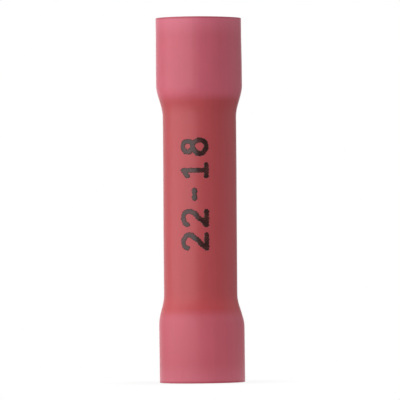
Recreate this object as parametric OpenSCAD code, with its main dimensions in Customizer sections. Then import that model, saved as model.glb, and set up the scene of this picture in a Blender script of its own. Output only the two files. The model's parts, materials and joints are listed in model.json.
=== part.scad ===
// Insulated butt splice: a soft vinyl sleeve, belled at both mouths, around a rolled crimp barrel.
// A stripped wire goes into each end as far as the stop, and the barrel is crimped onto it.
// The splice stands on its lower mouth: its axis is Z, and Z = 0 is the lower rim.

/* [Sleeve] */
// Depth of the upper bell, from its rim to the end of the barrel
upper_bell_depth = 6; // [4:0.1:8]
// Depth of the lower bell, from its rim to the end of the barrel
lower_bell_depth = 5.2; // [4:0.1:8]
// Bore of both bells, which take the wire's insulation
bell_bore_d = 4.7; // [4.2:0.05:5.4]
// Wall of the bells, thinned as the mouths were stretched
bell_wall = 0.72; // [0.5:0.01:1]
// Wall of the neck, around the barrel
neck_wall = 0.88; // [0.6:0.01:1.1]
// Length of each outer shoulder, between a bell and the neck
shoulder_len = 2.3; // [1.2:0.1:3.5]
// Length of each inner funnel, which guides the wire from a bell to the barrel
funnel_len = 1.2; // [0.6:0.1:2.4]
// Radius on the edges of the cut rims
rim_round = 0.05; // [0.03:0.01:0.2]
// Clearance around the barrel, on the radius
barrel_clearance = 0.01; // [0.005:0.005:0.05]

/* [Barrel] */
// Length of the barrel
barrel_len = 15; // [10:0.1:20]
// Outside diameter of the barrel
barrel_d = 3.5; // [3:0.05:4]
// Bore of the barrel, which takes the stripped wire
barrel_bore_d = 1.8; // [1.4:0.05:2.4]
// Bevel at each mouth of the bore
mouth_bevel = 0.3; // [0.1:0.05:0.5]
// Radius on the outer edges of the barrel's ends
barrel_edge = 0.1; // [0.04:0.01:0.2]
// Gap of the butted seam, where the edges of the rolled strip meet
seam_gap = 0.05; // [0.02:0.01:0.15]

/* [Wire stop] */
// Length of the ring that is pressed into the barrel's middle
stop_len = 1.6; // [1:0.1:3]
// Bore left open through the stop, too narrow for a wire
stop_bore_d = 0.7; // [0.4:0.05:1]

/* [Serrations] */
// Distance from the barrel's end to the first groove
serration_inset = 1.5; // [1:0.1:3]
// Distance between the grooves
serration_pitch = 1.3; // [0.7:0.1:2]
// Width of a groove at the bore
serration_w = 0.36; // [0.2:0.02:0.46]
// Depth of a groove
serration_depth = 0.16; // [0.08:0.02:0.3]

/* [Hidden] */
$fn = 96;

// Straight steps in a blend and in a rounded edge
blend_steps = 16;
edge_steps = 5;

// Radii
bell_bore_r = bell_bore_d / 2;
bell_r = bell_bore_r + bell_wall;
barrel_r = barrel_d / 2;
seat_r = barrel_r + barrel_clearance;
neck_r = seat_r + neck_wall;
bore_r = barrel_bore_d / 2;
stop_r = stop_bore_d / 2;

// Heights of the barrel's ends and of the upper rim
barrel_bottom = lower_bell_depth;
barrel_top = barrel_bottom + barrel_len;
upper_rim = barrel_top + upper_bell_depth;

// The barrel is symmetrical about its middle, where the stop is
half_len = barrel_len / 2;
half_stop = stop_len / 2;
stop_rise = bore_r - stop_r;

// As many grooves as fit between the inset and the stop
serration_room = half_len - serration_inset - half_stop - serration_w / 2;
serration_last = floor(serration_room / serration_pitch);

// A smooth S in the profile plane, from radius r0 at height z0 to radius r1 at height z1
function blend(r0, z0, r1, z1) = [
    for (i = [0:blend_steps])
        let (t = i / blend_steps)
        [r0 + (r1 - r0) * (1 - cos(180 * t)) / 2, z0 + (z1 - z0) * t]
];

// A quarter round of an edge about the centre r, z
function rounded_edge(r, z, radius, start) = [
    for (i = [0:edge_steps])
        let (a = start + 90 * i / edge_steps)
        [r + radius * cos(a), z + radius * sin(a)]
];

// One V-shaped groove in the bore's wall, read from the barrel's end inwards
function serration(z) = [
    [bore_r, z + serration_w / 2],
    [bore_r + serration_depth, z],
    [bore_r, z - serration_w / 2]
];

// The sleeve's section: up the outside, over the upper rim, down the inside and round the lower rim
function sleeve_section() = concat(
    rounded_edge(bell_r - rim_round, rim_round, rim_round, -90),
    blend(bell_r, barrel_bottom - shoulder_len / 2, neck_r, barrel_bottom + shoulder_len / 2),
    blend(neck_r, barrel_top - shoulder_len / 2, bell_r, barrel_top + shoulder_len / 2),
    rounded_edge(bell_r - rim_round, upper_rim - rim_round, rim_round, 0),
    rounded_edge(bell_bore_r + rim_round, upper_rim - rim_round, rim_round, 90),
    blend(bell_bore_r, barrel_top + funnel_len, seat_r, barrel_top),
    blend(seat_r, barrel_bottom, bell_bore_r, barrel_bottom - funnel_len),
    rounded_edge(bell_bore_r + rim_round, rim_round, rim_round, 180)
);

// The upper half of the barrel's section, from the pressed groove outside to the stop's crest inside
function half_barrel_section() = concat(
    blend(barrel_r - stop_rise, 0, barrel_r, half_stop),
    rounded_edge(barrel_r - barrel_edge, half_len - barrel_edge, barrel_edge, 0),
    [[bore_r + mouth_bevel, half_len], [bore_r, half_len - mouth_bevel]],
    [for (i = [0:serration_last]) each serration(half_len - serration_inset - i * serration_pitch)],
    blend(bore_r, half_stop, stop_r, 0)
);

// The whole section of the barrel: the half above, then its mirror image read backwards
function barrel_section() =
    let (half = half_barrel_section())
    concat(half, [for (i = [len(half) - 2:-1:1]) [half[i].x, -half[i].y]]);

// The slit left between the strip's edges, at the back
module seam() {
    translate([-seam_gap / 2, 0, -barrel_len])
        cube([seam_gap, barrel_d, 2 * barrel_len]);
}

// Soft vinyl sleeve: a straight neck that grips the barrel, and a belled mouth at each end
module insulating_sleeve() {
    color([0.79, 0.40, 0.45])
        rotate_extrude()
            polygon(sleeve_section());
}

// Barrel rolled from plated copper strip, with a butted seam, serrations and a pressed wire stop
module crimp_barrel() {
    color([0.78, 0.77, 0.74])
        translate([0, 0, barrel_bottom + half_len])
            difference() {
                rotate_extrude()
                    polygon(barrel_section());
                seam();
            }
}

insulating_sleeve();
crimp_barrel();
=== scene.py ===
import json
import math

import bpy
import numpy as np
from mathutils import Matrix, Vector


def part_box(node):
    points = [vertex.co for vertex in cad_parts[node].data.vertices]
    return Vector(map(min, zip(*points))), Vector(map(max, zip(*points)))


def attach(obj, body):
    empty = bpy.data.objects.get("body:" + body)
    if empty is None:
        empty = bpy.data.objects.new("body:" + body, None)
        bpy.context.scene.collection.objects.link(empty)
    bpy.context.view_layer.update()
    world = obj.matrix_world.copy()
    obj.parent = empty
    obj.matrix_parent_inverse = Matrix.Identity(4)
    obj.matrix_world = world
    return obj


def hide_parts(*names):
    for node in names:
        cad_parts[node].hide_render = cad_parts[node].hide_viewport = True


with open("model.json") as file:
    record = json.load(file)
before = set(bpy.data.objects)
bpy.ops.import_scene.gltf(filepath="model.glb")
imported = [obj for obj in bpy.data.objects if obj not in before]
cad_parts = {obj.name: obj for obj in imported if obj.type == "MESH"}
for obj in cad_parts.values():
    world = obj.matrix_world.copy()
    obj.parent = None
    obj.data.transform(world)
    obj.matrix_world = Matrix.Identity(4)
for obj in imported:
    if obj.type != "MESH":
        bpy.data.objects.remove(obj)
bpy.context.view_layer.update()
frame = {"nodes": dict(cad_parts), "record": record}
scene = bpy.context.scene
scene.view_settings.view_transform = "Standard"
mm = 0.001  # lengths are written in millimetres times this, apart from the lamps' own, which are in metres
print("stage: frame loaded,", len(frame["nodes"]), "nodes")


# heights and radii that the frame gives

def nodeRadius(node):  # greatest distance of a node's points from the splice's axis
    points = frame["nodes"][node].data.vertices
    flat = np.empty(len(points) * 3)
    points.foreach_get("co", flat)
    return float(np.hypot(flat[0::3], flat[1::3]).max())


mounts = {mount["name"]: mount["dims"] for mount in frame["record"]["mounts"]}
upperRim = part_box("insulating_sleeve")[1].z
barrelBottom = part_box("crimp_barrel")[0].z
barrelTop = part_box("crimp_barrel")[1].z
barrelMiddle = (barrelBottom + barrelTop) / 2
bellRadius = nodeRadius("insulating_sleeve")
barrelRadius = nodeRadius("crimp_barrel")
bellBoreRadius = mounts["upper_insulation_bore"]["r_mm"] * mm
wireBoreRadius = mounts["upper_conductor_bore"]["r_mm"] * mm


# curves in the half plane of radius and height: each leaves out its last point, so that they chain up

def shares(start, end, spacing):  # from 0 to just below 1, in even steps of about the spacing
    length = math.hypot(end[0] - start[0], end[1] - start[1])
    return np.linspace(0, 1, max(1, round(length / spacing)), endpoint=False)


def sBend(start, end, spacing):  # half a cosine wave in radius while the height runs evenly
    t = shares(start, end, spacing)
    wave = (1 - np.cos(np.pi * t)) / 2
    return np.stack([start[0] + (end[0] - start[0]) * wave, start[1] + (end[1] - start[1]) * t], axis=1)


def straightRun(start, end, spacing):  # even steps along a straight line
    t = shares(start, end, spacing)[:, None]
    return np.asarray(start) * (1 - t) + np.asarray(end) * t


def roundEdge(centre, radius, startDegrees, steps=6):  # quarter circle about a centre, anticlockwise
    angle = np.radians(startDegrees + np.linspace(0, 90, steps, endpoint=False))
    return np.stack([centre[0] + radius * np.cos(angle), centre[1] + radius * np.sin(angle)], axis=1)


def smoothStep(low, high, value):  # 0 before low, 1 past high, and a cubic ease between them
    t = np.clip((value - low) / (high - low), 0, 1)
    return t * t * (3 - 2 * t)


# meshes from grids of points

def gridQuads(rows, columns, wrapRows, wrapColumns):  # corner numbers of every cell of a grid, anticlockwise
    number = np.arange(rows * columns).reshape(rows, columns)
    below = number if wrapRows else number[:-1]
    above = np.roll(number, -1, axis=0) if wrapRows else number[1:]
    corners = [below, np.roll(below, -1, axis=1), np.roll(above, -1, axis=1), above]
    if not wrapColumns:
        corners = [corner[:, :-1] for corner in corners]
    return np.stack(corners, axis=-1).reshape(-1, 4)


def makePiece(name, points, quads, caps=()):  # one smooth object at the origin from points, quads and caps
    mesh = bpy.data.meshes.new(name)
    mesh.from_pydata(points.reshape(-1, 3).tolist(), [], quads.tolist() + [cap.tolist() for cap in caps])
    mesh.polygons.foreach_set("use_smooth", np.ones(len(mesh.polygons), dtype=bool))
    mesh.update()
    piece = bpy.data.objects.new(name, mesh)
    scene.collection.objects.link(piece)
    return piece


# vinyl sleeve: five sizes of the part's source, the unevenness of one real sample, and the mesh

sleeveShape = {
    "neckWall": 0.88 * mm,        # wall around the barrel
    "barrelClearance": 0.01 * mm,
    "shoulderLength": 2.3 * mm,   # outer slope between a bell and the neck
    "funnelLength": 1.2 * mm,     # inner slope between a bell and the barrel
    "rimRound": 0.05 * mm,
    "mouthOval": 0.012 * mm,      # how far a cut mouth is out of round
    "upperOvalTurn": 0.6,         # which way each oval points, in radians
    "lowerOvalTurn": -1.1,
    "cutSlant": 0.05 * mm,        # how much lower the upper cut runs on the right
    "cutWave": 0.008 * mm,        # unevenness of the knife's cut
    "cutLobes": 3,                # its waves round the mouth
    "cutReach": 1.5 * mm,         # height over which the cut's unevenness dies away
    "bellSwell": 0.02 * mm,       # the upper bell is fullest beside its shoulder
    "swellStart": 1 * mm,         # from here below the rim
    "swellReach": 3.6 * mm,       # down to that fullest place
    "neckDrift": 0.055 * mm,      # the neck's wall thickens on the left towards its lower end
    "lowerAskew": 0.16 * mm,      # the lower shoulder sits higher on the left and lower on the right
    "upperAskew": 0.03 * mm,      # the upper one less so
    "askewReach": 2.4 * mm,       # height over which that dies away
    "wallWave": 0.005 * mm,       # slow unevenness of the drawn tube
    "waveLength": 7 * mm,         # of that unevenness, along the tube
    "waveLobes": (3, 2),          # two sets of ridges that wind round the tube in opposite ways
    "rowHeight": 0.25 * mm,       # mesh rows on the straight stretches
    "bendRow": 0.09 * mm,         # and in the bends
    "around": 288,
}


def sleeveProfile():  # closed loop: up the outside, over the upper rim, down the inside, round the lower rim
    s = sleeveShape
    row, bend = s["rowHeight"], s["bendRow"]
    seat = barrelRadius + s["barrelClearance"]
    neck = seat + s["neckWall"]
    reach = s["shoulderLength"] / 2
    edge = s["rimRound"]
    outerBell = bellRadius - edge
    innerBell = bellBoreRadius + edge
    low, high = barrelBottom, barrelTop
    lowFunnel, highFunnel = low - s["funnelLength"], high + s["funnelLength"]
    outside = np.concatenate([
        roundEdge((outerBell, edge), edge, -90),
        straightRun((bellRadius, edge), (bellRadius, low - reach), row),
        sBend((bellRadius, low - reach), (neck, low + reach), bend),
        straightRun((neck, low + reach), (neck, high - reach), row),
        sBend((neck, high - reach), (bellRadius, high + reach), bend),
        straightRun((bellRadius, high + reach), (bellRadius, upperRim - edge), row),
        roundEdge((outerBell, upperRim - edge), edge, 0),
    ])
    inside = np.concatenate([
        straightRun((outerBell, upperRim), (innerBell, upperRim), bend),
        roundEdge((innerBell, upperRim - edge), edge, 90),
        straightRun((bellBoreRadius, upperRim - edge), (bellBoreRadius, highFunnel), row),
        sBend((bellBoreRadius, highFunnel), (seat, high), bend),
        straightRun((seat, high), (seat, low), row),
        sBend((seat, low), (bellBoreRadius, lowFunnel), bend),
        straightRun((bellBoreRadius, lowFunnel), (bellBoreRadius, edge), row),
        roundEdge((innerBell, edge), edge, 180),
        straightRun((innerBell, 0), (outerBell, 0), bend),
    ])
    return outside, inside


def neckShift(height):  # to the left: nothing at the neck's upper end, most by the lower shoulder, gone below
    s = sleeveShape
    reach = s["shoulderLength"] / 2
    grown = smoothStep(barrelTop - reach, barrelBottom + reach, height)
    return s["neckDrift"] * grown * smoothStep(barrelBottom, barrelBottom + reach, height)


def besideShoulder(shoulder, height):  # 1 at a shoulder's middle, easing to 0 on both sides of it
    return 1 - smoothStep(0, sleeveShape["askewReach"], np.abs(height - shoulder))


def makeSleeve():
    # the profile turned about the axis; then mouths a little oval, the upper cut a little slanted and wavy,
    # the upper bell a little fuller by its shoulder, the neck thicker on one side and the shoulders askew
    s = sleeveShape
    outside, inside = sleeveProfile()
    profile = np.concatenate([outside, inside])
    onOutside = (np.arange(len(profile)) < len(outside))[:, None]
    angle = np.linspace(0, 2 * np.pi, s["around"], endpoint=False)[None, :]
    radius, height = profile[:, :1], profile[:, 1:]
    right = np.cos(angle)  # 1 at +X, -1 at -X

    upperMouth = smoothStep(barrelTop, upperRim, height)
    lowerMouth = 1 - smoothStep(0, barrelBottom, height)
    oval = upperMouth * (np.cos(2 * angle + s["upperOvalTurn"]) - 1)
    oval = oval + lowerMouth * (np.cos(2 * angle + s["lowerOvalTurn"]) - 1)
    phase = 2 * np.pi * height / s["waveLength"]
    oneWay, otherWay = s["waveLobes"]
    wave = np.sin(oneWay * angle + phase) + np.sin(otherWay * angle - phase / 2) - 2  # from -4 to 0
    fullness = smoothStep(upperRim - s["swellStart"], upperRim - s["swellReach"], height)
    fullness = fullness * smoothStep(barrelTop, barrelTop + s["shoulderLength"] / 2, height) * onOutside
    r = radius + s["mouthOval"] * oval / 2 + s["wallWave"] * wave / 4 + s["bellSwell"] * fullness

    cut = s["cutSlant"] * ((1 + right) / 2) ** 2 + s["cutWave"] * (1 - np.sin(s["cutLobes"] * angle)) / 2
    askew = s["lowerAskew"] * besideShoulder(barrelBottom, height)
    askew = askew + s["upperAskew"] * besideShoulder(barrelTop, height)
    x = r * right - neckShift(height) * onOutside
    z = height - cut * smoothStep(upperRim - s["cutReach"], upperRim, height) - askew * right * onOutside
    points = np.stack([x, r * np.sin(angle), z], axis=-1)
    return makePiece("vinyl_sleeve", points, gridQuads(len(profile), s["around"], True, True))


sleeve = makeSleeve()
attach(sleeve, "root")
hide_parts("insulating_sleeve")
print("stage: sleeve,", len(sleeve.data.polygons), "faces")


# crimp barrel: sizes of the part's source, the seam's eased lips, and the mesh

barrelShape = {
    "endRound": 0.1 * mm,         # outer edge of an end
    "mouthBevel": 0.3 * mm,       # bevel at a mouth of the bore
    "seamGap": 0.05 * mm,         # slit between the edges of the rolled strip
    "seamLip": 0.05 * mm,         # rounding of those edges
    "seamDegrees": 90,            # the seam faces +Y
    "stopLength": 1.6 * mm,       # ring pressed into the middle
    "stopBore": 0.35 * mm,        # radius left open through the stop
    "grooveInset": 1.5 * mm,      # first serration from an end
    "groovePitch": 1.3 * mm,
    "grooveWidth": 0.36 * mm,
    "grooveDepth": 0.16 * mm,
    "grooves": 4,                 # in each half
    "rowHeight": 0.15 * mm,       # mesh rows on the straight stretches
    "fineRow": 0.05 * mm,         # and in the grooves, bevels and bends
    "around": 160,
    "lipSteps": 6,
}


def upperSection():  # from the middle: up the outside, round the end, down the bore past grooves to the stop
    b = barrelShape
    row, fine = b["rowHeight"], b["fineRow"]
    halfLength = (barrelTop - barrelBottom) / 2
    halfStop = b["stopLength"] / 2
    edge = b["endRound"]
    bevelTop = wireBoreRadius + b["mouthBevel"]
    bevelEnd = halfLength - b["mouthBevel"]
    pressed = barrelRadius - (wireBoreRadius - b["stopBore"])
    runs = [
        sBend((pressed, 0), (barrelRadius, halfStop), fine),
        straightRun((barrelRadius, halfStop), (barrelRadius, halfLength - edge), row),
        roundEdge((barrelRadius - edge, halfLength - edge), edge, 0),
        straightRun((barrelRadius - edge, halfLength), (bevelTop, halfLength), fine),
        straightRun((bevelTop, halfLength), (wireBoreRadius, bevelEnd), fine),
    ]
    here = (wireBoreRadius, bevelEnd)
    for groove in range(b["grooves"]):
        middle = halfLength - b["grooveInset"] - groove * b["groovePitch"]
        mouth = (wireBoreRadius, middle + b["grooveWidth"] / 2)
        root = (wireBoreRadius + b["grooveDepth"], middle)
        past = (wireBoreRadius, middle - b["grooveWidth"] / 2)
        runs += [straightRun(here, mouth, row), straightRun(mouth, root, fine), straightRun(root, past, fine)]
        here = past
    stopFoot, stopCrest = (wireBoreRadius, halfStop), (b["stopBore"], 0)
    runs += [straightRun(here, stopFoot, row), sBend(stopFoot, stopCrest, fine), [stopCrest]]
    return np.concatenate(runs)


def barrelProfile():  # closed loop: the upper section, then its mirror image read backwards
    upper = upperSection()
    lower = upper[-2:0:-1] * (1, -1)
    return np.concatenate([upper, lower]) + (0, barrelMiddle)


def makeBarrel():  # the profile carried round from one edge of the strip to the other, with the edges eased
    b = barrelShape
    profile = barrelProfile()
    profileRadius, height = profile[:, :1], profile[:, 1:]
    lip = b["seamLip"]
    fromStop = np.clip(np.abs(height - barrelMiddle) / (b["stopLength"] / 2), 0, 1)
    pressed = (wireBoreRadius - b["stopBore"]) * (1 + np.cos(np.pi * fromStop)) / 2
    wallMiddle = (barrelRadius + wireBoreRadius) / 2 - pressed  # it follows the wall into the stop
    side = np.clip((profileRadius - wallMiddle) / (2 * lip), -1, 1)  # 1 outside, -1 in the bore
    easing = lip * (1 - np.cos(np.linspace(0, np.pi / 2, b["lipSteps"])))
    turn = 2 * np.pi * barrelRadius - b["seamGap"]
    run = np.concatenate([easing, np.linspace(lip, turn - lip, b["around"])[1:-1], turn - easing[::-1]])
    share = run / turn  # 0 at one edge of the strip, 1 at the other
    fromEdge = np.minimum(run, turn - run)
    drop = lip - np.sqrt(np.maximum(lip**2 - np.maximum(lip - fromEdge, 0) ** 2, 0))
    radius = profileRadius - drop[None, :] * side
    halfGap = np.arcsin(b["seamGap"] / 2 / radius)
    angle = math.radians(b["seamDegrees"]) + halfGap + share[None, :] * (2 * np.pi - 2 * halfGap)
    points = np.stack([radius * np.cos(angle), radius * np.sin(angle), height + 0 * angle], axis=-1)
    rows, columns = radius.shape
    starts = np.arange(rows) * columns
    caps = [starts, starts[::-1] + columns - 1]  # the sheared edges of the strip
    return makePiece("rolled_barrel", points, gridQuads(rows, columns, True, False), caps)


barrel = makeBarrel()
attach(barrel, "root")
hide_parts("crimp_barrel")
print("stage: barrel,", len(barrel.data.polygons), "faces")


# printed wire range

inkShape = {
    "marks": "22-18",             # the wire sizes that a red splice takes
    "height": 1.72 * mm,          # of a numeral, between the middles of its strokes
    "advance": 1.7 * mm,          # from one numeral to the next
    "stroke": 0.36 * mm,
    "bleed": 0.04 * mm,           # unevenness of the ink's edge
    "bleedLength": 0.5 * mm,
    "middleHeight": 13.5 * mm,    # middle of the line, up the neck
    "middleDegrees": -98.6,       # and round it, a little to the left of the front
    "proud": 0.012 * mm,          # the film stands out this far
    "sunk": 0.015 * mm,           # and reaches this far into the vinyl
    "cell": 0.04 * mm,
    "slides": 3,                  # times that the border is drawn to the ink's edge
    "leastSlope": 0.5,            # a flatter place throws no point further than this slope would
}

# strokes in a box one unit high: lines by their ends, arcs by centre, radius, first degree and sweep;
# the slope of the 2 leaves from the first point of its arc
numeralWidth = 0.56
numerals = {
    "1": {"lines": [((0.28, 0), (0.28, 1)), ((0.28, 1), (0.06, 0.8)), ((0.06, 0), (0.5, 0))], "arcs": []},
    "2": {"lines": [((0.4945, 0.54), (0, 0)), ((0, 0), (0.56, 0))], "arcs": [((0.28, 0.72), 0.28, -40, 200)]},
    "8": {"lines": [], "arcs": [((0.28, 0.28), 0.28, 0, 360), ((0.28, 0.78), 0.22, 0, 360)]},
    "-": {"lines": [((0.1, 0.5), (0.46, 0.5))], "arcs": []},
}


def lineDistance(u, v, start, end):  # from each point to the foot of its perpendicular, kept within the ends
    du, dv = end[0] - start[0], end[1] - start[1]
    t = np.clip(((u - start[0]) * du + (v - start[1]) * dv) / (du**2 + dv**2), 0, 1)
    return np.hypot(u - start[0] - t * du, v - start[1] - t * dv)


def arcDistance(u, v, centre, radius, first, sweep):  # to the ring inside the sweep, else to the nearer end
    du, dv = u - centre[0], v - centre[1]
    within = np.mod(np.degrees(np.arctan2(dv, du)) - first, 360) <= sweep
    ends = np.radians([first, first + sweep])
    toEnds = [np.hypot(du - radius * np.cos(end), dv - radius * np.sin(end)) for end in ends]
    return np.where(within, np.abs(np.hypot(du, dv) - radius), np.minimum(*toEnds))


def inkEdge(u, v):  # distance to the nearest stroke less half its width, made uneven: below 0 in the ink
    k = inkShape
    size = k["height"]
    lineLength = (len(k["marks"]) - 1) * k["advance"] + numeralWidth * size
    nearest = np.full(np.shape(u), np.inf)
    for place, mark in enumerate(k["marks"]):
        a = (u + lineLength / 2 - place * k["advance"]) / size  # 0 at the numeral's left
        b = v / size + 0.5  # 0 at its foot, 1 at its head
        strokes = [lineDistance(a, b, *line) for line in numerals[mark]["lines"]]
        strokes += [arcDistance(a, b, *arc) for arc in numerals[mark]["arcs"]]
        nearest = np.minimum(nearest, size * np.min(strokes, axis=0))
    across = 2 * np.pi * u / k["bleedLength"]
    along = 2 * np.pi * v / k["bleedLength"]
    uneven = np.sin(across + 2 * np.sin(along)) * np.sin(along + np.sin(across))
    return nearest - k["stroke"] / 2 + k["bleed"] * uneven


def makePrint():
    # cells of a grid wrapped on the neck are kept where their middles lie in the ink; the points of the
    # border slide down the slope of the distance to its zero line; two sheets are joined by a wall
    k = inkShape
    cell = k["cell"]
    nudge = cell / 4
    halfLength = len(k["marks"]) * k["advance"] / 2 + k["stroke"]
    halfHeight = k["height"] / 2 + k["stroke"]
    v, u = np.meshgrid(np.arange(-halfHeight, halfHeight, cell), np.arange(-halfLength, halfLength, cell),
                       indexing="ij")
    middles = inkEdge(u[:-1, :-1] + cell / 2, v[:-1, :-1] + cell / 2)
    quads = gridQuads(*u.shape, False, False)[middles.ravel() < 0]
    numbers, quads = np.unique(quads, return_inverse=True)
    quads = quads.reshape(-1, 4)
    u, v = u.ravel()[numbers], v.ravel()[numbers]
    onBorder = np.bincount(quads.ravel()) < 4
    for _ in range(k["slides"]):
        slopeU = (inkEdge(u + nudge, v) - inkEdge(u - nudge, v)) / (2 * nudge)
        slopeV = (inkEdge(u, v + nudge) - inkEdge(u, v - nudge)) / (2 * nudge)
        steepness = np.maximum(slopeU**2 + slopeV**2, k["leastSlope"] ** 2)
        way = onBorder * np.clip(inkEdge(u, v) / steepness, -cell / 2, cell / 2)
        u, v = u - way * slopeU, v - way * slopeV

    neck = barrelRadius + sleeveShape["barrelClearance"] + sleeveShape["neckWall"]
    angle = math.radians(k["middleDegrees"]) - v / neck
    height = k["middleHeight"] + u
    sheets = [np.stack([r * np.cos(angle) - neckShift(height), r * np.sin(angle), height], axis=-1)
              for r in (neck + k["proud"], neck - k["sunk"])]
    count = len(u)
    starts, ends = quads.ravel(), np.roll(quads, -1, axis=1).ravel()
    alone = ~np.isin(starts * count + ends, ends * count + starts)  # edges that only one cell has
    starts, ends = starts[alone], ends[alone]
    wall = np.stack([ends, starts, starts + count, ends + count], axis=1)
    faces = np.concatenate([quads, quads[:, ::-1] + count, wall])
    return makePiece("ink_numerals", np.concatenate(sheets), faces)


ink = makePrint()
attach(ink, "root")
print("stage: print,", len(ink.data.polygons), "faces")


# node helpers

def newMaterial(name):  # a material, its node tree and its shader
    material = bpy.data.materials.new(name)
    material.use_nodes = True
    return material, material.node_tree, material.node_tree.nodes["Principled BSDF"]


def addNode(tree, kind, values=None, **settings):  # a node, its settings, and its inputs by name or number
    node = tree.nodes.new(kind)
    for key, value in settings.items():
        setattr(node, key, value)
    for key, value in (values or {}).items():
        if isinstance(value, bpy.types.NodeSocket):
            tree.links.new(value, node.inputs[key])
        else:
            node.inputs[key].default_value = value
    return node


def mathNode(tree, operation, *values):  # one sum of numbers or sockets
    return addNode(tree, "ShaderNodeMath", dict(enumerate(values)), operation=operation).outputs[0]


def mixValue(tree, factor, first, second):  # the first at a factor of 0, the second at 1
    return addNode(tree, "ShaderNodeMix", {0: factor, 2: first, 3: second}).outputs[0]


def mixColour(tree, factor, first, second, blend="MIX"):  # the same for colours, or one times the other
    values = {0: factor, 6: first, 7: second}
    return addNode(tree, "ShaderNodeMix", values, data_type="RGBA", blend_type=blend).outputs[2]


def rampBetween(tree, value, low, high):  # 0 before low, 1 past high, eased
    values = {"Value": value, "From Min": low, "From Max": high}
    return addNode(tree, "ShaderNodeMapRange", values, interpolation_type="SMOOTHSTEP").outputs[0]


def spreadAbout(tree, middle, *parts):  # middle + sum of each amount times (its noise - 0.5)
    total = middle
    for noise, amount in parts:
        total = mathNode(tree, "MULTIPLY_ADD", mathNode(tree, "SUBTRACT", noise, 0.5), amount, total)
    return total


# grain that all the finishes share: slow patches, streaks drawn out along one direction, and fine grain

noiseDetail = 3.0  # finer layers in each noise


def makeGrainGroup():  # noise of three sizes at a place, the streaks at that place stretched
    group = bpy.data.node_groups.new("surface_grain", "ShaderNodeTree")
    group.interface.new_socket("Place", in_out="INPUT", socket_type="NodeSocketVector")
    group.interface.new_socket("Stretch", in_out="INPUT", socket_type="NodeSocketVector")
    for name in ("Patch Size", "Streak Size", "Grain Size"):
        group.interface.new_socket(name, in_out="INPUT", socket_type="NodeSocketFloat")
    given = addNode(group, "NodeGroupInput").outputs
    result = addNode(group, "NodeGroupOutput")
    place = given["Place"]
    drawn = addNode(group, "ShaderNodeVectorMath", {0: place, 1: given["Stretch"]}, operation="MULTIPLY")
    for kind, spot in (("Patch", place), ("Streak", drawn.outputs[0]), ("Grain", place)):
        group.interface.new_socket(kind, in_out="OUTPUT", socket_type="NodeSocketFloat")
        scale = mathNode(group, "DIVIDE", 1.0, given[kind + " Size"])
        noise = addNode(group, "ShaderNodeTexNoise", {"Vector": spot, "Scale": scale, "Detail": noiseDetail})
        group.links.new(noise.outputs[0], result.inputs[kind])
    return group


grainGroup = makeGrainGroup()


def addGrain(tree, place, look):  # the shared grain with one finish's own sizes
    values = {"Place": place, "Stretch": look["stretch"], "Patch Size": look["patchSize"],
              "Streak Size": look["streakSize"], "Grain Size": look["grainSize"]}
    return addNode(tree, "ShaderNodeGroup", values, node_tree=grainGroup).outputs


def addBump(tree, shader, height, depth):  # relief of a given depth from a height between 0 and 1
    bump = addNode(tree, "ShaderNodeBump", {"Height": height, "Distance": depth, "Strength": 1.0})
    tree.links.new(bump.outputs[0], shader.inputs["Normal"])


# red vinyl

vinylLook = {
    "neckShadedColour": (0.58, 0.080, 0.093, 1),   # deeper red: painted shade where the barrel behind the wall stops the light
    "bellLitColour": (0.705, 0.131, 0.188, 1),  # paler: painted light that comes through the hollow bell's wall
    "mouthPaleAndLitColour": (0.785, 0.177, 0.255, 1),  # paler where the wall ends, and painted light that comes in through the open end
    "rimShadeColour": (0.62, 0.098, 0.150, 1),    # darker at the cut: the cut seen edge-on, and painted shade on its rounding
    "lowerTint": (1, 0.98, 0.955, 1),        # the lower bell is a little warmer
    "endLightTint": (1.12, 1, 1, 1),              # painted light: the wall above it redder at the barrel's lower end, where light from the bell reaches up
    "endLightReach": 1.6 * mm,                    # as far as this up the barrel
    "barrelShadeOverhang": 0.23 * mm,                 # the painted shade of the barrel reaches this far past its end
    "barrelFade": 0.42 * mm,                 # blur of that edge
    "barrelWander": 0.16 * mm,               # and its unevenness
    "mouthReach": 1.6 * mm,
    "rimReach": 0.09 * mm,
    "stretch": (1, 1, 0.03),                 # die lines run along the tube
    "knifeStretch": (0.05, 1, 1),            # and knife lines across the cut
    "patchSize": 1.8 * mm,
    "streakSize": 0.3 * mm,
    "grainSize": 0.16 * mm,
    "patchTone": 0.10,
    "streakTone": 0.08,
    "roughness": 0.4,
    "roughSpread": 0.12,
    "grainShare": 0.5,                       # of the fine grain in the relief
    "reliefDepth": 0.003 * mm,
    "specular": 0.5,
    "scatterWeight": 0.1,                    # light that goes into the wall
    "scatterRadius": (1.0, 0.35, 0.35),
    "scatterScale": 0.5 * mm,
}


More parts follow.
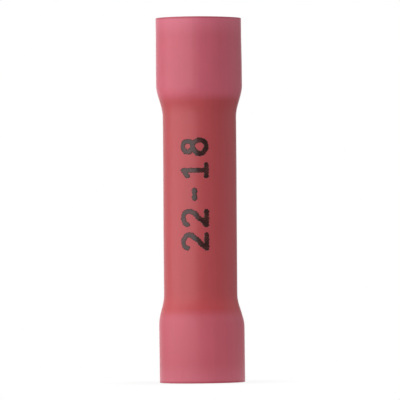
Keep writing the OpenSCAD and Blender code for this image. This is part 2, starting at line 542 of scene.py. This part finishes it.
def vinylMaterial():  # deep red over the barrel and paler in the bells and at the mouths, painted light and shade of light through the wall; darker cut rims with painted shade; fine die lines
    v = vinylLook
    material, tree, shader = newMaterial("red_vinyl_skin")
    place = addNode(tree, "ShaderNodeTexCoord").outputs["Object"]
    height = addNode(tree, "ShaderNodeSeparateXYZ", {0: place}).outputs["Z"]
    grain = addGrain(tree, place, v)
    knife = addGrain(tree, place, {**v, "stretch": v["knifeStretch"]})["Streak"]

    # painted light and shade: the bells paler where light comes through the wall, the neck darker over the
    # barrel
    seenHeight = spreadAbout(tree, height, (grain["Patch"], v["barrelWander"]))
    top, bottom = barrelTop + v["barrelShadeOverhang"], barrelBottom - v["barrelShadeOverhang"]
    aboveTop = rampBetween(tree, seenHeight, top - v["barrelFade"], top + v["barrelFade"])
    belowBottom = rampBetween(tree, seenHeight, bottom + v["barrelFade"], bottom - v["barrelFade"])
    bells = mathNode(tree, "ADD", aboveTop, belowBottom)
    # paler mouths: partly the wall's end, partly painted light coming in through the open ends
    upperMouth = rampBetween(tree, height, upperRim - v["mouthReach"], upperRim)
    lowerMouth = rampBetween(tree, height, v["mouthReach"], 0)
    mouths = mathNode(tree, "ADD", upperMouth, lowerMouth)
    # darker cut rims: painted shade on the rims' rounding; the same band carries the knife lines
    upperCut = rampBetween(tree, height, upperRim - 2 * v["rimReach"], upperRim - v["rimReach"])
    lowerCut = rampBetween(tree, height, 2 * v["rimReach"], v["rimReach"])
    cutShadeAndKnife = mathNode(tree, "ADD", upperCut, lowerCut)

    colour = mixColour(tree, bells, v["neckShadedColour"], v["bellLitColour"])
    colour = mixColour(tree, mouths, colour, v["mouthPaleAndLitColour"])
    colour = mixColour(tree, cutShadeAndKnife, colour, v["rimShadeColour"])
    colour = mixColour(tree, belowBottom, colour, v["lowerTint"], "MULTIPLY")
    # painted light from the lower bell, reaching up the wall around the barrel's lower end
    bellLightNearEnd = rampBetween(tree, height, barrelBottom + v["endLightReach"], barrelBottom)
    bellLightNearEnd = mathNode(tree, "SUBTRACT", bellLightNearEnd, belowBottom)
    colour = mixColour(tree, bellLightNearEnd, colour, v["endLightTint"], "MULTIPLY")
    tone = spreadAbout(tree, 1.0, (grain["Patch"], v["patchTone"]), (grain["Streak"], v["streakTone"]))
    toned = addNode(tree, "ShaderNodeHueSaturation", {"Value": tone, "Color": colour})
    tree.links.new(toned.outputs[0], shader.inputs["Base Color"])

    spread = v["roughSpread"]
    rough = spreadAbout(tree, v["roughness"], (grain["Patch"], spread), (grain["Grain"], spread))
    tree.links.new(rough, shader.inputs["Roughness"])
    lines = mathNode(tree, "MULTIPLY_ADD", knife, cutShadeAndKnife, grain["Streak"])
    relief = mathNode(tree, "MULTIPLY_ADD", grain["Grain"], v["grainShare"], lines)
    addBump(tree, shader, relief, v["reliefDepth"])
    shader.inputs["Specular IOR Level"].default_value = v["specular"]
    shader.inputs["Subsurface Weight"].default_value = v["scatterWeight"]
    shader.inputs["Subsurface Radius"].default_value = v["scatterRadius"]
    shader.inputs["Subsurface Scale"].default_value = v["scatterScale"]
    return material


sleeve.data.materials.append(vinylMaterial())


# tinned copper

tinLook = {
    "tinColour": (0.74, 0.73, 0.70, 1),
    "dullColour": (0.60, 0.58, 0.54, 1),
    "dullFrom": 0.35,                      # streaks from bright to dull between these levels of the noise
    "dullTo": 0.7,
    "seamColour": (0.52, 0.36, 0.27, 1),   # copper shows at the sheared edges of the strip
    "seamReach": 0.09 * mm,
    "stretch": (1, 1, 0.04),               # the strip was rolled along the splice
    "patchSize": 0.9 * mm,
    "streakSize": 0.12 * mm,
    "grainSize": 0.08 * mm,
    "roughness": 0.32,
    "roughSpread": 0.2,
    "reliefDepth": 0.002 * mm,
}


def tinMaterial():  # bright tin, dull in streaks, and copper at the seam
    t = tinLook
    material, tree, shader = newMaterial("tinned_copper_skin")
    place = addNode(tree, "ShaderNodeTexCoord").outputs["Object"]
    grain = addGrain(tree, place, t)
    spot = addNode(tree, "ShaderNodeSeparateXYZ", {0: place}).outputs
    fromSeam = mathNode(tree, "ABSOLUTE", spot["X"])
    behind = mathNode(tree, "GREATER_THAN", spot["Y"], 0.0)  # the seam faces +Y
    seam = mathNode(tree, "MULTIPLY", behind, rampBetween(tree, fromSeam, t["seamReach"], t["seamReach"] / 2))
    dull = rampBetween(tree, grain["Streak"], t["dullFrom"], t["dullTo"])
    colour = mixColour(tree, dull, t["tinColour"], t["dullColour"])
    colour = mixColour(tree, seam, colour, t["seamColour"])
    tree.links.new(colour, shader.inputs["Base Color"])
    spread = t["roughSpread"]
    rough = spreadAbout(tree, t["roughness"], (grain["Patch"], spread), (grain["Streak"], spread))
    tree.links.new(rough, shader.inputs["Roughness"])
    addBump(tree, shader, mathNode(tree, "ADD", grain["Streak"], grain["Grain"]), t["reliefDepth"])
    shader.inputs["Metallic"].default_value = 1
    return material


barrel.data.materials.append(tinMaterial())


# printing ink

inkLook = {
    "inkColour": (0.032, 0.003, 0.001, 1),
    "thinColour": (0.120, 0.020, 0.018, 1),  # where the film is thin
    "thinFrom": 0.4,                         # patches that thin out between these levels of the noise
    "thinTo": 0.65,
    "stretch": (1, 1, 0.3),
    "patchSize": 0.5 * mm,
    "streakSize": 0.15 * mm,
    "grainSize": 0.07 * mm,
    "roughness": 0.25,
    "roughSpread": 0.24,
    "reliefDepth": 0.003 * mm,
    "specular": 0.7,
}


def inkMaterial():  # near black, browner in patches where the film is thin
    k = inkLook
    material, tree, shader = newMaterial("black_ink")
    place = addNode(tree, "ShaderNodeTexCoord").outputs["Object"]
    grain = addGrain(tree, place, k)
    patches = rampBetween(tree, grain["Patch"], k["thinFrom"], k["thinTo"])
    thin = mathNode(tree, "MULTIPLY", patches, grain["Grain"])
    tree.links.new(mixColour(tree, thin, k["inkColour"], k["thinColour"]), shader.inputs["Base Color"])
    spread = k["roughSpread"]
    rough = spreadAbout(tree, k["roughness"], (grain["Patch"], spread), (grain["Grain"], spread))
    tree.links.new(rough, shader.inputs["Roughness"])
    addBump(tree, shader, mathNode(tree, "ADD", grain["Streak"], grain["Grain"]), k["reliefDepth"])
    shader.inputs["Specular IOR Level"].default_value = k["specular"]
    return material


ink.data.materials.append(inkMaterial())
print("stage: materials")


# stage, light and camera

studio = {
    "room": 0.28,                  # level of the light from all round
    "ceiling": 0.4,                # and from overhead
    "backdrop": 1.0,               # level of the backdrop, for the eye and in glossy surfaces: white
    "darkSide": 0.04,              # and of the walls in front and beside it, which only those mirror
    "backdropAzimuth": 180,        # its middle, in degrees to the left of the camera: behind the splice
    "backdropInner": 5,            # full this many degrees from its middle
    "backdropOuter": 37,           # and gone by here
    "floorSize": 40 * mm,
    "floorColour": 0.9,            # share of the light that it throws back
    "shadowShare": 0.09,           # how much of the floor's shadow the eye sees
    "shadowInner": 3.5 * mm,       # whole this far from the axis
    "shadowOuter": 8 * mm,         # and gone by here
    "underInner": 2.6 * mm,        # under the splice the eye sees the floor as it is
    "underOuter": 3 * mm,
}

# the lamps: level is the brightness of a box's own face, azimuth counts degrees to the left of the camera,
# height counts degrees upwards, and the lengths are in metres
softBoxes = {
    "key": {"level": 1.57, "azimuth": 58, "height": 4, "distance": 0.6, "width": 1.3, "tall": 0.6},
    "front": {"level": 0.15, "azimuth": -25, "height": 4, "distance": 0.6, "width": 0.8, "tall": 0.6},
    "fill": {"level": 0.36, "azimuth": -107, "height": 10, "distance": 0.6, "width": 0.8, "tall": 0.7},
    "back": {"level": 0.55, "azimuth": 147, "height": 10, "distance": 0.6, "width": 0.7, "tall": 0.6},
}


def wayTo(azimuth, height=0):  # unit vector to a place in the room, by degrees left of the camera and upwards
    turn, rise = math.radians(azimuth), math.radians(height)
    return Vector((-math.sin(turn) * math.cos(rise), -math.cos(turn) * math.cos(rise), math.sin(rise)))


def worldLight():
    # a soft room for the light itself; glossy surfaces mirror dark walls, a white backdrop behind the splice
    # and the ceiling; all white to the eye and through glass
    world = bpy.data.worlds.new("studio_room")
    world.use_nodes = True
    scene.world = world
    tree = world.node_tree
    tree.nodes.clear()
    path = addNode(tree, "ShaderNodeLightPath").outputs
    way = addNode(tree, "ShaderNodeTexCoord").outputs["Generated"]
    overhead = rampBetween(tree, addNode(tree, "ShaderNodeSeparateXYZ", {0: way}).outputs["Z"], 0, 1)
    room = mixValue(tree, overhead, studio["room"], studio["ceiling"])
    towards = addNode(tree, "ShaderNodeVectorMath", {0: way, 1: wayTo(studio["backdropAzimuth"])},
                      operation="DOT_PRODUCT").outputs["Value"]
    outer, inner = (math.cos(math.radians(studio[key])) for key in ("backdropOuter", "backdropInner"))
    behind = rampBetween(tree, towards, outer, inner)
    walls = mixValue(tree, behind, studio["darkSide"], studio["backdrop"])
    mirrored = mixValue(tree, overhead, walls, studio["ceiling"])
    level = mixValue(tree, path["Is Glossy Ray"], room, mirrored)
    seen = mathNode(tree, "MAXIMUM", path["Is Camera Ray"], path["Is Transmission Ray"])
    level = mixValue(tree, seen, level, studio["backdrop"])
    background = addNode(tree, "ShaderNodeBackground", {"Color": (1, 1, 1, 1), "Strength": level})
    output = addNode(tree, "ShaderNodeOutputWorld")
    tree.links.new(background.outputs[0], output.inputs["Surface"])


def floorMaterial():  # matt for the light it throws back; to the eye white, with a weak shadow by the splice
    material, tree, shader = newMaterial("pale_floor")
    tree.nodes.remove(shader)
    path = addNode(tree, "ShaderNodeLightPath").outputs
    seen = mathNode(tree, "MAXIMUM", path["Is Camera Ray"], path["Is Glossy Ray"])
    seen = mathNode(tree, "MAXIMUM", seen, path["Is Transmission Ray"])
    pale = studio["floorColour"]
    place = addNode(tree, "ShaderNodeTexCoord").outputs["Object"]
    distance = addNode(tree, "ShaderNodeVectorMath", {0: place}, operation="LENGTH").outputs["Value"]
    near = rampBetween(tree, distance, studio["shadowOuter"], studio["shadowInner"])
    under = rampBetween(tree, distance, studio["underOuter"], studio["underInner"])
    share = mathNode(tree, "MAXIMUM", under, mathNode(tree, "MULTIPLY", near, studio["shadowShare"]))
    matt = addNode(tree, "ShaderNodeBsdfDiffuse", {"Color": (pale, pale, pale, 1)})
    glow = addNode(tree, "ShaderNodeEmission", {"Color": (1, 1, 1, 1), "Strength": 1.0})
    shown = addNode(tree, "ShaderNodeMixShader", {0: share, 1: glow.outputs[0], 2: matt.outputs[0]})
    both = addNode(tree, "ShaderNodeMixShader", {0: seen, 1: matt.outputs[0], 2: shown.outputs[0]})
    tree.links.new(both.outputs[0], tree.nodes["Material Output"].inputs["Surface"])
    return material


def makeFloor():  # a flat square that the splice stands on
    half = studio["floorSize"] / 2
    corners = np.array([[-half, -half, 0], [half, -half, 0], [half, half, 0], [-half, half, 0]])
    floor = makePiece("floor", corners, np.array([[0, 1, 2, 3]]))
    floor.data.materials.append(floorMaterial())


def makeSoftBox(name, box):  # a flat rectangle of even brightness that faces the splice
    towards = wayTo(box["azimuth"], box["height"])
    lamp = bpy.data.lights.new(name, "AREA")
    lamp.shape = "RECTANGLE"
    lamp.size = box["width"]
    lamp.size_y = box["tall"]
    lamp.energy = box["level"] * math.pi * box["width"] * box["tall"]
    holder = bpy.data.objects.new(name, lamp)
    holder.location = Vector((0, 0, upperRim / 2)) + towards * box["distance"]
    holder.rotation_euler = towards.to_track_quat("Z", "Y").to_euler()
    scene.collection.objects.link(holder)


eye = {
    "distance": 394 * mm,
    "height": 10.65 * mm,       # a little below the splice's middle
    "side": -0.027 * mm,
    "pixelsPerMm": 13.92,       # scale of the picture at the axis
    "pictureWidth": 400,
    "rollDegrees": -0.68,       # the splice leans a little to the left
    "nearest": 10 * mm,         # what the camera sees lies between these distances
    "furthest": 5000 * mm,
}


def makeCamera():  # aimed at the splice's middle; the lens follows from the picture's scale at the axis
    lens = bpy.data.cameras.new("eye")
    lens.lens = lens.sensor_width * eye["pixelsPerMm"] / mm * eye["distance"] / eye["pictureWidth"]
    lens.clip_start = eye["nearest"]
    lens.clip_end = eye["furthest"]
    camera = bpy.data.objects.new("eye", lens)
    camera.location = (eye["side"], -eye["distance"], eye["height"])
    aim = Vector((eye["side"], 0, upperRim / 2)) - camera.location
    roll = Matrix.Rotation(math.radians(eye["rollDegrees"]), 3, "Z")
    camera.rotation_euler = (aim.to_track_quat("-Z", "Y").to_matrix() @ roll).to_euler()
    scene.collection.objects.link(camera)
    scene.camera = camera


worldLight()
makeFloor()
for boxName, box in softBoxes.items():
    makeSoftBox(boxName, box)
makeCamera()
print("stage: light and camera")
